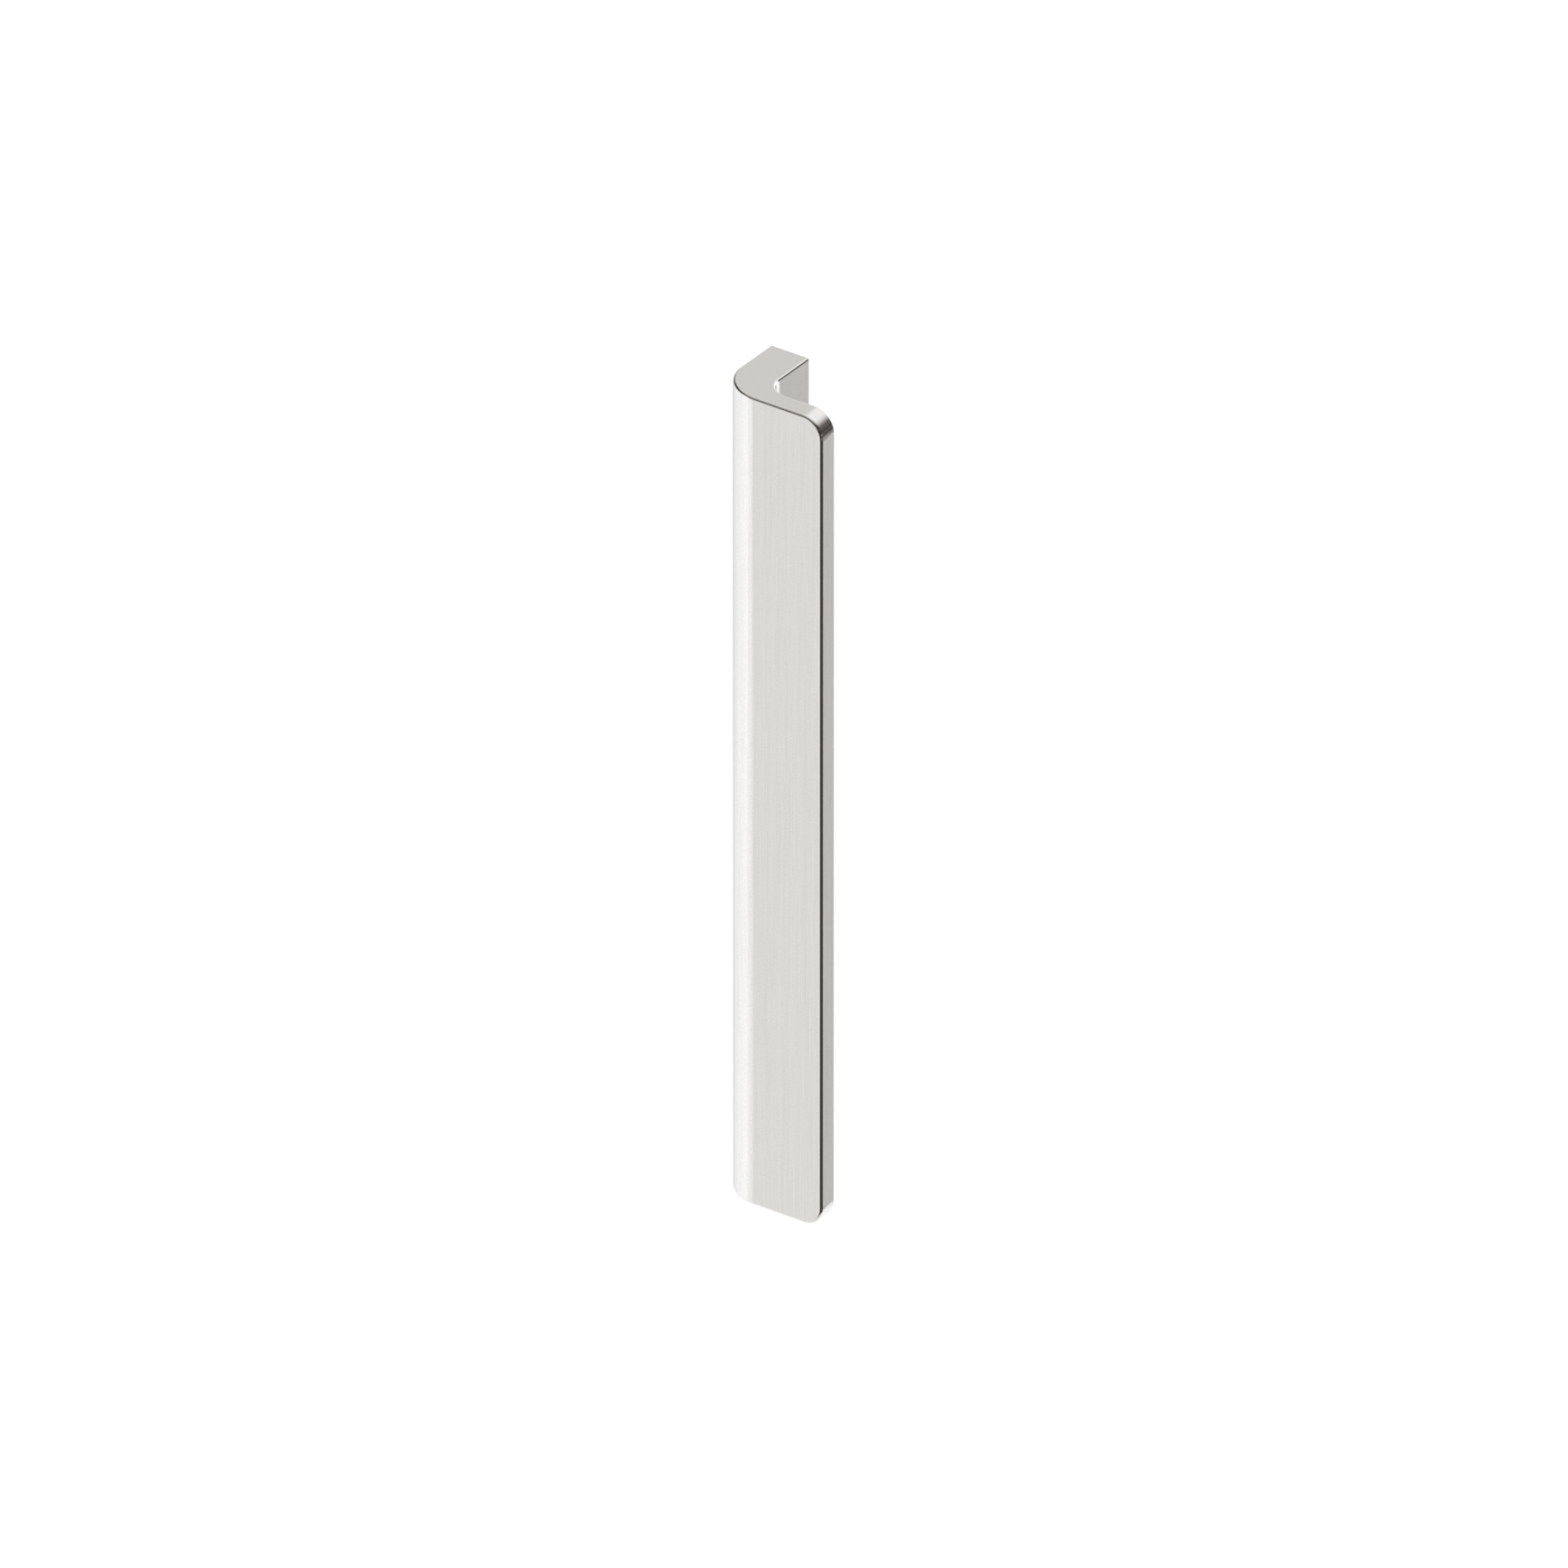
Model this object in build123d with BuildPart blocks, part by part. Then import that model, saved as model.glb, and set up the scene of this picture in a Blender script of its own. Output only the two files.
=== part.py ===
from build123d import *
from math import radians, tan
import os

# Door pull handle: one L-section bar, fixed upright to a door.
# A thick leg stands off the door, and a thinner front plate turns away from it
# at a rounded bend, so that fingers reach behind the plate's free edge.
#
# Frame: Y = 0 is the face that meets the door and +Y points into the door, so
# the front of the handle faces -Y. +Z is up along the bar, and +X runs from the
# leg to the plate's free edge. The origin is midway between the two screw holes,
# on the mounting face. All sizes are in millimetres.

# ---- driving dimensions ----
length = 200.0             # height of the bar, along Z
width = 28.0               # leg's outer face to the plate's free edge, along X
depth = 21.0               # mounting face to front face, along Y
leg_thickness = 10.0       # along X
plate_thickness = 5.0      # along Y
bend_outer_radius = 10.0   # front face into the leg's outer face
bend_inner_radius = 5.0    # leg's inner face into the plate's back face
corner_radius = 5.0        # the plate's two free corners, seen from the front
edge_radius = 0.5          # every visible edge is rounded by this
mount_edge_radius = 0.15   # outline of the mounting face, left crisp so that it sits tight

hole_centres = 160.0       # between the two screw holes, along Z
thread_major_radius = 2.0  # M4 x 0.7: wall of the threaded length, at the thread's root
thread_depth = 9.0         # threaded length, from the mounting face
drill_radius = 1.65        # tap drill
drill_depth = 12.0         # full-diameter depth of the tap drill
drill_point_angle = 118.0  # included angle of the drill's point
mouth_radius = 2.25        # 90 degree countersink at each hole's mouth
mouth_angle = 90.0

# ---- the leg is centred on the screw holes ----
x_out = -leg_thickness / 2         # leg's outer face
x_in = leg_thickness / 2           # leg's inner face
x_free = x_out + width             # plate's free edge
y_front = -depth                   # front face
y_behind = -depth + plate_thickness  # plate's back face

with BuildPart() as pull_handle:
    # L section, seen from above
    with BuildSketch(Plane.XY.offset(-length / 2)) as section:
        with BuildLine():
            Polyline(
                (x_out, 0),
                (x_out, y_front),
                (x_free, y_front),
                (x_free, y_behind),
                (x_in, y_behind),
                (x_in, 0),
                close=True,
            )
        make_face()
        outer_bend = section.vertices().sort_by_distance((x_out, y_front, -length / 2))[0]
        fillet(outer_bend, radius=bend_outer_radius)
        inner_bend = section.vertices().sort_by_distance((x_in, y_behind, -length / 2))[0]
        fillet(inner_bend, radius=bend_inner_radius)
    extrude(amount=length)

    # the plate's two free corners, top and bottom
    fillet(
        pull_handle.edges().filter_by(Axis.Y).group_by(Axis.X)[-1],
        radius=corner_radius,
    )

    # every sharp edge is rounded: all edges but the eight lines where a round
    # runs smoothly into a flat, and the outline of the mounting face
    bend_ends = [
        (x_out, y_front + bend_outer_radius),
        (x_out + bend_outer_radius, y_front),
        (x_in, y_behind + bend_inner_radius),
        (x_in + bend_inner_radius, y_behind),
    ]
    bend_lines = pull_handle.edges().filter_by(Axis.Z).filter_by(
        lambda e: any(
            abs(e.center().X - x) < 0.01 and abs(e.center().Y - y) < 0.01
            for x, y in bend_ends
        )
    )
    corner_ends = [
        (x_free - corner_radius, length / 2),
        (x_free, length / 2 - corner_radius),
        (x_free - corner_radius, -length / 2),
        (x_free, -length / 2 + corner_radius),
    ]
    corner_lines = pull_handle.edges().filter_by(Axis.Y).filter_by(
        lambda e: any(
            abs(e.center().X - x) < 0.01 and abs(e.center().Z - z) < 0.01
            for x, z in corner_ends
        )
    )
    mount_outline = pull_handle.edges().group_by(Axis.Y)[-1]
    sharp_edges = pull_handle.edges() - bend_lines - corner_lines - mount_outline
    fillet(sharp_edges, radius=edge_radius)
    mounting_face = pull_handle.faces().sort_by(Axis.Y)[-1]
    fillet(mounting_face.edges(), radius=mount_edge_radius)

    # two blind threaded holes in the mounting face: a countersunk mouth, the
    # threaded length at the thread's major radius, and the tap drill's end
    mounting_plane = Plane(origin=(0, 0, 0), x_dir=(1, 0, 0), z_dir=(0, 1, 0))
    with Locations(mounting_plane):
        with GridLocations(leg_thickness, hole_centres, 1, 2):
            CounterSinkHole(
                radius=thread_major_radius,
                counter_sink_radius=mouth_radius,
                depth=thread_depth,
                counter_sink_angle=mouth_angle,
            )
            Hole(radius=drill_radius, depth=drill_depth)

    # conical end left by the drill's point
    point_height = drill_radius / tan(radians(drill_point_angle / 2))
    drill_end_plane = mounting_plane.offset(-drill_depth)
    with Locations(drill_end_plane):
        with GridLocations(leg_thickness, hole_centres, 1, 2):
            Cone(
                bottom_radius=drill_radius,
                top_radius=0,
                height=point_height,
                rotation=(180, 0, 0),
                align=(Align.CENTER, Align.CENTER, Align.MIN),
                mode=Mode.SUBTRACT,
            )

pull_handle.part.label = "pull_handle"

os.makedirs("parts", exist_ok=True)
export_step(pull_handle.part, "parts/pull_handle.step")
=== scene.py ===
import math

import bpy
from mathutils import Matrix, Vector


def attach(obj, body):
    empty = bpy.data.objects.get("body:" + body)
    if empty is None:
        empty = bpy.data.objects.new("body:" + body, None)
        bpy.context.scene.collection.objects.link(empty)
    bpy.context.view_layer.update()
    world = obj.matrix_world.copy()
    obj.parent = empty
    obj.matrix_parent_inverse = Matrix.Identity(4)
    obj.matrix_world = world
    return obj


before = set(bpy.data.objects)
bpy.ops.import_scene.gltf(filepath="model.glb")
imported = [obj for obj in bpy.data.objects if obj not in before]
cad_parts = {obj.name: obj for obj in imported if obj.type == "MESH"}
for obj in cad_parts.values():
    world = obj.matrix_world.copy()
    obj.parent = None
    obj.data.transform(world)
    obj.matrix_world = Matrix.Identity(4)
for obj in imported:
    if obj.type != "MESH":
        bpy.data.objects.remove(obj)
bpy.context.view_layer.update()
scene = bpy.context.scene
MM = 0.001

# ---------------------------------------------------------------- node helpers


class Graph:
    """A short way to write shader node trees."""

    def __init__(self, tree):
        self.tree = tree

    def node(self, kind, inputs=None, **props):
        made = self.tree.nodes.new(kind)
        for name, value in props.items():
            setattr(made, name, value)
        for key, value in (inputs or {}).items():
            socket = made.inputs[key]
            if isinstance(value, bpy.types.NodeSocket):
                self.tree.links.new(value, socket)
            else:
                socket.default_value = value
        return made

    def math(self, op, *values, clamp=False):
        made = self.node(
            "ShaderNodeMath", dict(enumerate(values)), operation=op, use_clamp=clamp
        )
        return made.outputs[0]

    def vector(self, op, *values, out="Vector"):
        made = self.node("ShaderNodeVectorMath", dict(enumerate(values)), operation=op)
        return made.outputs[out]

    def ramp(self, value, lo, hi, to_lo=0.0, to_hi=1.0, kind="SMOOTHSTEP"):
        made = self.node(
            "ShaderNodeMapRange",
            {"Value": value, "From Min": lo, "From Max": hi, "To Min": to_lo, "To Max": to_hi},
            interpolation_type=kind,
        )
        return made.outputs["Result"]

    def mix(self, factor, a, b):
        made = self.node(
            "ShaderNodeMix", {"Factor": factor, "A": a, "B": b}, data_type="FLOAT"
        )
        return made.outputs["Result"]

    def noise(self, vector, detail=2.0, rough=0.5):
        made = self.node(
            "ShaderNodeTexNoise",
            {"Vector": vector, "Scale": 1.0, "Detail": detail, "Roughness": rough},
        )
        return made.outputs["Fac"]


def new_material(name):
    made = bpy.data.materials.new(name)
    made.use_nodes = True
    made.node_tree.nodes.clear()
    return made, Graph(made.node_tree)


# ---------------------------------------------------------------- studio light

# Soft cards round the object, painted one over another on a dim room:
# azimuth and its half width and softness, elevation and the same, brightness.
# Azimuth 0 is +X and 90 is +Y.
ROOM = 0.066
CARDS = [
    (0, 180, 10, 90, 39, 25.5, 0.78),  # overhead
    (0, 180, 10, -90, 63, 34, 0.87),  # bright floor sweep
    (-33, 51, 12, -47, 4, 4, 0.02),  # dark part of it, right front
    (52, 9, 3, -47, 4, 2.5, 1.05),  # bright part beside that
    (-125, 34.5, 27.5, 37, 18, 16.5, 0.30),  # dim, upper front left
    (98, 40.5, 29, 47.5, 20, 15, 1.054),  # high card at the rear
    (120.3, 15.4, 9, 5.3, 22.6, 11.4, 1.05),  # card behind
    (126, 8.5, 3, 28, 8.5, 4, 0.752),  # what the top sees
    (141, 89.7, 4.1, -43, 22.7, 8.5, 1.14),  # long low card, left and rear
    (85.6, 24.4, 2.5, 0, 32, 1.5, 1.24),  # rear
    (84, 22, 4, 0, 19, 4, 1.45),  # brightest part of it
    (90, 5, 2.5, -9, 16, 3, 0.90),  # and its frame
    (46, 5, 3, 15, 5, 4, 0.14),  # dim, beside it
    (-55, 45, 12, 4, 14, 5, 0.03),  # dark, right front
    (-30, 42, 8, 35, 8, 3, 0.03),  # dark, above it
    (170.5, 35, 2.5, 23, 15, 3, 0.02),  # dark, left rear
    (177, 37, 4, -7.5, 14, 4, 0.96),  # bright, under it
    (110, 35.4, 8.4, -36, 14, 4, 1.28),  # brighter, low at the rear
    (-142.7, 8.3, 1.1, -14.7, 20.3, 10.8, 1.036),  # left front
    (-148.5, 7.2, 4.3, -28, 13, 6, 1.165),  # narrow strip light
    (-120, 16, 6, -56, 13, 4, 1.08),  # under the front
    (-126.3, 6.7, 1.8, -29.8, 4.9, 2.6, 0.896),  # front edge of the low card
    (132.3, 12.9, 4.2, -30.8, 8.5, 1.5, 0.78),  # gap in the low card
    (-26.7, 83.7, 9.4, -26.3, 19.7, 1, 0.060),  # dark card on the right front
    (55.2, 2.7, 1.1, -31.3, 7.3, 1, 0.620),  # small card, low on the right
    (41.7, 8.9, 3.1, -23.2, 4.8, 1.2, 0.42),  # and one beside it
    (63.5, 6, 1.2, -36, 9, 2, 1.10),  # the low card's near end
    (-87, 23, 4, -15, 10, 3.2, 0.03),  # dark card, low at the front
    (-133, 37, 5, -3, 2.5, 1.5, 0.52),  # level band, left
    (20, 17, 3, -3, 2.5, 1.5, 0.50),  # level band, right
    (-90, 4, 2, -3, 4.5, 2, 0.85),  # front
    (-90, 3, 2, -20, 2.5, 1.5, 0.60),  # front, low
    (0, 5, 2, -3, 4, 2, 0.66),  # right
    (0, 5, 3, -20, 3, 2, 0.45),  # right, low
    (180, 4, 2, -3, 5, 2, 0.66),  # left
    (-45, 6, 3, 15, 2.5, 2, 0.50),  # right front, high
    (44, 2.5, 1.5, -15, 2, 1.5, 0.56),  # right rear
    (-45, 6, 3, -20, 3, 2, 0.50),  # right front, low
]


def make_world():
    world = bpy.data.worlds.new("studio")
    scene.world = world
    world.use_nodes = True
    world.node_tree.nodes.clear()
    g = Graph(world.node_tree)
    direction = g.node("ShaderNodeTexCoord").outputs["Generated"]
    direction = g.vector("NORMALIZE", direction)
    flat = g.vector("NORMALIZE", g.vector("MULTIPLY", direction, (1.0, 1.0, 0.0)))
    height = g.node("ShaderNodeSeparateXYZ", {0: direction}).outputs["Z"]
    elevation = g.math(
        "DEGREES", g.math("ARCSINE", g.math("MAXIMUM", g.math("MINIMUM", height, 1.0), -1.0))
    )
    light = ROOM
    for az, half_az, soft_az, el, half_el, soft_el, value in CARDS:
        off = g.math("ABSOLUTE", g.math("SUBTRACT", elevation, float(el)))
        inside = g.ramp(off, max(0, half_el - soft_el), half_el + soft_el, 1.0, 0.0)
        if half_az < 179:
            aim = (math.cos(math.radians(az)), math.sin(math.radians(az)), 0.0)
            across = g.vector("DOT_PRODUCT", flat, aim, out="Value")
            inside_az = g.ramp(
                across,
                math.cos(math.radians(min(180, half_az + soft_az))),
                math.cos(math.radians(max(0, half_az - soft_az))),
            )
            inside = g.math("MULTIPLY", inside, inside_az)
        light = g.mix(inside, light, value)
    # the cards are a cool white and the dim room between them is warm
    green = g.math(
        "ADD",
        g.ramp(light, 0.05, 0.60, 0.88, 1.0, "LINEAR"),
        g.ramp(light, 0.86, 1.15, 0.0, 0.01, "LINEAR"),
    )
    blue = g.math(
        "ADD",
        g.ramp(light, 0.05, 0.60, 0.80, 1.0, "LINEAR"),
        g.ramp(light, 0.86, 1.15, 0.0, 0.045, "LINEAR"),
    )
    tint = g.node("ShaderNodeCombineColor", {"Red": 1.0, "Green": green, "Blue": blue})
    studio = g.node("ShaderNodeBackground", {"Color": tint.outputs[0], "Strength": light})
    white = g.node("ShaderNodeBackground", {"Color": (1, 1, 1, 1), "Strength": 1.03})
    seen = g.node("ShaderNodeLightPath").outputs["Is Camera Ray"]
    both = g.node("ShaderNodeMixShader", {0: seen, 1: studio.outputs[0], 2: white.outputs[0]})
    g.node("ShaderNodeOutputWorld", {"Surface": both.outputs[0]})


make_world()

# ---------------------------------------------------------------- floor

# A plain white floor well below the handle, lit evenly, so that it meets the
# white backdrop without a line, and open from below.
floor_mesh = bpy.data.meshes.new("floor")
floor_mesh.from_pydata(
    [(-30, -30, -0.6), (30, -30, -0.6), (30, 30, -0.6), (-30, 30, -0.6)], [], [(0, 1, 2, 3)]
)
floor = bpy.data.objects.new("floor", floor_mesh)
scene.collection.objects.link(floor)
floor.visible_glossy = False
floor.visible_diffuse = False
floor.visible_transmission = False
floor.visible_shadow = False
floor_material, g = new_material("white_floor")
lit = g.node("ShaderNodeEmission", {"Color": (1, 1, 1, 1), "Strength": 1.03})
clear = g.node("ShaderNodeBsdfTransparent")
under = g.node("ShaderNodeNewGeometry").outputs["Backfacing"]
sheet = g.node("ShaderNodeMixShader", {0: under, 1: lit.outputs[0], 2: clear.outputs[0]})
g.node("ShaderNodeOutputMaterial", {"Surface": sheet.outputs[0]})
floor_mesh.materials.append(floor_material)

# ---------------------------------------------------------------- camera

# The photograph is a parallel view from 35 degrees to the right of the front
# and 30 degrees above. A very long lens far away gives the same.
AZIMUTH, ELEVATION = math.radians(35), math.radians(30)
FRAME_WIDTH = 1740 / 5.1655 * MM
to_camera = Vector(
    (
        math.sin(AZIMUTH) * math.cos(ELEVATION),
        -math.cos(AZIMUTH) * math.cos(ELEVATION),
        math.sin(ELEVATION),
    )
)
right = Vector((math.cos(AZIMUTH), math.sin(AZIMUTH), 0))
up = to_camera.cross(right)
target = right * (-1.287 * MM) + up * (-5.957 * MM)
camera_data = bpy.data.cameras.new("camera")
camera_data.type = "PERSP"
camera_data.sensor_width = 36
camera_data.lens = 1500
camera_data.dof.use_dof = False
distance = FRAME_WIDTH / 2 / (camera_data.sensor_width / 2 / camera_data.lens)
camera_data.clip_start = 0.1
camera_data.clip_end = 100
camera = bpy.data.objects.new("camera", camera_data)
scene.collection.objects.link(camera)
camera.location = target + to_camera * distance
camera.rotation_mode = "QUATERNION"
camera.rotation_quaternion = (-to_camera).to_track_quat("-Z", "Y")
scene.camera = camera
scene.view_settings.view_transform = "Standard"

# ---------------------------------------------------------------- metal

METAL = (0.805, 0.793, 0.761, 1.0)
HOLE_Z = 80.0  # mm, above and below the middle


def hole_place(g, place):
    """Distance in mm from the nearer screw hole's axis, and depth along it."""
    x, y, z = (
        g.node("ShaderNodeSeparateXYZ", {0: place}).outputs[i] for i in ("X", "Y", "Z")
    )
    dz = g.math("SUBTRACT", g.math("ABSOLUTE", z), HOLE_Z)
    radius = g.math(
        "SQRT", g.math("ADD", g.math("MULTIPLY", x, x), g.math("MULTIPLY", dz, dz))
    )
    return radius, y


def turned_lines(g, place):
    """Fine rings that a drill and a tap leave, 0 to 1."""
    radius, y = hole_place(g, place)
    rings = g.node(
        "ShaderNodeCombineXYZ",
        {"X": g.math("MULTIPLY", radius, 11.0), "Y": g.math("MULTIPLY", y, 11.0), "Z": 0.0},
    ).outputs[0]
    return g.noise(rings, 3.0, 0.6), radius


def brushed_metal():
    made, g = new_material("brushed_metal_long_grain")
    place = g.vector(
        "MULTIPLY", g.node("ShaderNodeTexCoord").outputs["Object"], (1000.0,) * 3
    )
    normal = g.node("ShaderNodeNewGeometry").outputs["Normal"]
    normal_z = g.math(
        "ABSOLUTE", g.node("ShaderNodeSeparateXYZ", {0: normal}).outputs["Z"]
    )
    on_end = g.ramp(normal_z, 0.55, 0.85)

    # long grain up the bar: broad, middle and fine streaks
    broad = g.noise(g.vector("MULTIPLY", place, (1.7, 1.7, 0.018)), 2.0, 0.5)
    middle = g.noise(g.vector("MULTIPLY", place, (3.6, 3.6, 0.075)), 2.0, 0.55)
    fine = g.noise(g.vector("MULTIPLY", place, (13.0, 13.0, 0.22)), 3.0, 0.6)
    # and short scratches
    short = g.noise(g.vector("MULTIPLY", place, (15.0, 15.0, 2.3)), 2.0, 0.6)
    # the cut ends are finished across the profile, finer and more even
    end_middle = g.noise(g.vector("MULTIPLY", place, (0.16, 5.0, 5.0)), 2.0, 0.55)
    end_fine = g.noise(g.vector("MULTIPLY", place, (0.5, 16.0, 16.0)), 3.0, 0.6)
    # slow changes of tone over several centimetres, as any hand or belt leaves
    cloud = g.noise(g.vector("MULTIPLY", place, (0.10, 0.10, 0.016)), 1.0, 0.5)

    rings, radius = turned_lines(g, place)
    depth = g.node("ShaderNodeSeparateXYZ", {0: place}).outputs["Y"]
    in_hole = g.math(
        "MULTIPLY",
        g.ramp(radius, 2.24, 2.27, 1.0, 0.0, "LINEAR"),
        g.math("GREATER_THAN", depth, -14.0),
    )

    def centred(value, amount):
        return g.math("MULTIPLY", g.math("SUBTRACT", value, 0.5), amount)

    def total(*values):
        out = values[0]
        for value in values[1:]:
            out = g.math("ADD", out, value)
        return out

    # tone: a factor close to 1 on the metal's colour
    tone_long = total(
        centred(broad, 0.085),
        centred(middle, 0.14),
        centred(fine, 0.17),
        centred(short, 0.48),
        centred(cloud, 0.02),
    )
    tone_end = total(centred(end_middle, 0.030), centred(end_fine, 0.050))
    tone = g.mix(on_end, tone_long, tone_end)
    tone = g.mix(in_hole, tone, g.math("ADD", centred(rings, 0.16), -0.06))
    tone = g.math("ADD", tone, 1.0)
    colour = g.vector("SCALE", METAL[:3])
    scale = colour.node
    g.tree.links.new(tone, scale.inputs["Scale"])

    # roughness
    rough_long = total(centred(middle, 0.05), centred(fine, 0.07))
    rough_end = centred(end_fine, 0.06)
    rough = g.mix(on_end, rough_long, rough_end)
    rough = g.math("ADD", rough, 0.13)
    rough = g.mix(in_hole, rough, g.math("ADD", centred(rings, 0.15), 0.30))

    # relief, in metres, shallow: the grain is scratches a few micrometres deep
    relief_long = total(
        g.math("MULTIPLY", middle, 0.55), g.math("MULTIPLY", fine, 0.30)
    )
    relief_end = g.math("MULTIPLY", end_fine, 0.35)
    relief = g.mix(on_end, relief_long, relief_end)
    relief = g.mix(in_hole, relief, g.math("MULTIPLY", rings, 3.0))
    bump = g.node(
        "ShaderNodeBump", {"Strength": 1.0, "Distance": 0.0000045, "Height": relief}
    ).outputs[0]

    # the grain's cross direction: level on the bar's sides, front to back on
    # its ends
    across = g.vector("CROSS_PRODUCT", (0.0, 0.0, 1.0), normal)
    across = g.vector("NORMALIZE", g.vector("ADD", across, (0.0, 0.03, 0.0)))

    shader = g.node(
        "ShaderNodeBsdfPrincipled",
        {
            "Base Color": colour,
            "Roughness": rough,
            "Normal": bump,
            "Tangent": across,
            "Metallic": 1.0,
            "Anisotropic": 0.4,
            "Specular Tint": (0.8, 0.8, 0.8, 1.0),
        },
    )
    g.node("ShaderNodeOutputMaterial", {"Surface": shader.outputs[0]})
    return made


def threaded_metal():
    made, g = new_material("tapped_thread_metal")
    place = g.vector(
        "MULTIPLY", g.node("ShaderNodeTexCoord").outputs["Object"], (1000.0,) * 3
    )
    rings, _ = turned_lines(g, place)
    tone = g.ramp(rings, 0.0, 1.0, 0.84, 1.02, "LINEAR")
    colour = g.vector("SCALE", METAL[:3])
    g.tree.links.new(tone, colour.node.inputs["Scale"])
    rough = g.ramp(rings, 0.0, 1.0, 0.22, 0.38, "LINEAR")
    bump = g.node(
        "ShaderNodeBump", {"Strength": 1.0, "Distance": 0.000012, "Height": rings}
    ).outputs[0]
    shader = g.node(
        "ShaderNodeBsdfPrincipled",
        {"Base Color": colour, "Roughness": rough, "Normal": bump, "Metallic": 1.0},
    )
    g.node("ShaderNodeOutputMaterial", {"Surface": shader.outputs[0]})
    return made


# ---------------------------------------------------------------- the handle

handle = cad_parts["pull_handle"]
for slot in handle.material_slots:
    slot.material = brushed_metal()


def sharp_group():
    """Marks as sharp only the corners that are sharp on the real part: the
    rims inside the screw holes. All other edges are rounds that run smoothly
    into the faces beside them."""
    tree = bpy.data.node_groups.new("sharp_hole_rims", "GeometryNodeTree")
    tree.interface.new_socket("Geometry", in_out="INPUT", socket_type="NodeSocketGeometry")
    tree.interface.new_socket("Geometry", in_out="OUTPUT", socket_type="NodeSocketGeometry")
    g = Graph(tree)
    given = g.node("NodeGroupInput").outputs[0]
    place = g.vector("MULTIPLY", g.node("GeometryNodeInputPosition").outputs[0], (1000.0,) * 3)
    radius, _ = hole_place(g, place)
    near = g.node(
        "FunctionNodeCompare", {0: radius, 1: 2.4}, data_type="FLOAT", operation="LESS_THAN"
    ).outputs[0]
    angle = g.node("GeometryNodeInputMeshEdgeAngle").outputs["Unsigned Angle"]
    wide = g.node(
        "FunctionNodeCompare",
        {0: angle, 1: math.radians(26)},
        data_type="FLOAT",
        operation="GREATER_THAN",
    ).outputs[0]
    both = g.node("FunctionNodeBooleanMath", {0: near, 1: wide}, operation="AND").outputs[0]
    made = g.node(
        "GeometryNodeSetShadeSmooth",
        {"Geometry": given, "Selection": both, "Shade Smooth": False},
        domain="EDGE",
    ).outputs[0]
    g.node("NodeGroupOutput", {0: made})
    return tree


weld = handle.modifiers.new("weld", "WELD")
weld.merge_threshold = 1e-6
sharp = handle.modifiers.new("sharp", "NODES")
sharp.node_group = sharp_group()
smooth = handle.modifiers.new("smooth", "WEIGHTED_NORMAL")
smooth.mode = "FACE_AREA"
smooth.keep_sharp = True
smooth.weight = 50

# ---------------------------------------------------------------- the threads

PITCH = 0.7
WALL_RADIUS = 2.0
CREST_RADIUS = 1.621
THREAD_DEPTH = 9.0
DRILL_RADIUS = 1.65
MOUTH_RADIUS = 2.25
STEPS_PER_TURN = 48


def thread_ridge(name, z_mm, start_angle):
    """The ridge that a tap leaves in the hole: M4 x 0.7, a helix along Y whose
    foot is sunk in the hole's wall and whose crest faces the axis. The
    countersink cuts it back at the mouth, where it rises out of the wall within
    a fifth of a turn. At the bottom it runs into the shoulder where the tap
    drill's bore goes on."""
    foot, crest = (PITCH - PITCH / 8) / 2, PITCH / 8
    slope = math.tan(math.radians(30))
    sunk = 0.06
    profile = [(-foot - sunk * slope, WALL_RADIUS + sunk)]
    for k in range(4):
        t = k / 3
        profile.append(
            (-foot + (foot - crest) * t, WALL_RADIUS + (CREST_RADIUS - WALL_RADIUS) * t)
        )
    profile.append((0.0, CREST_RADIUS))
    profile += [(-y, r) for y, r in reversed(profile[:-1])]
    first = -(foot + sunk * slope) - 0.03
    last = -THREAD_DEPTH - (foot + sunk * slope) - 0.03
    steps = round((first - last) / PITCH * STEPS_PER_TURN)
    verts, faces = [], []
    for step in range(steps + 1):
        turn = step / STEPS_PER_TURN
        middle = first + (last - first) * step / steps
        a = start_angle + 2 * math.pi * turn
        for off, r in profile:
            y = middle + off
            r = max(r, MOUTH_RADIUS + 0.03 + y, WALL_RADIUS + 0.03 - 2.0 * turn)
            if y < -THREAD_DEPTH:
                r = max(r, DRILL_RADIUS + 0.02)
            verts.append((r * math.cos(a) * MM, y * MM, (z_mm + r * math.sin(a)) * MM))
    n = len(profile)
    for step in range(steps):
        for k in range(n):
            a, b = step * n + k, step * n + (k + 1) % n
            faces.append((a, a + n, b + n, b))
    faces.append(tuple(range(n)))
    faces.append(tuple(reversed(range(steps * n, (steps + 1) * n))))
    mesh = bpy.data.meshes.new(name)
    mesh.from_pydata(verts, [], faces)
    mesh.validate()
    mesh.update()
    piece = bpy.data.objects.new(name, mesh)
    scene.collection.objects.link(piece)
    mesh.shade_smooth()
    mesh.set_sharp_from_angle(angle=math.radians(28))
    mesh.materials.append(thread_metal)
    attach(piece, "root")
    return piece


thread_metal = threaded_metal()
upper_thread = thread_ridge("upper_hole_thread", HOLE_Z, 0.4)
lower_thread = thread_ridge("lower_hole_thread", -HOLE_Z, 2.1)
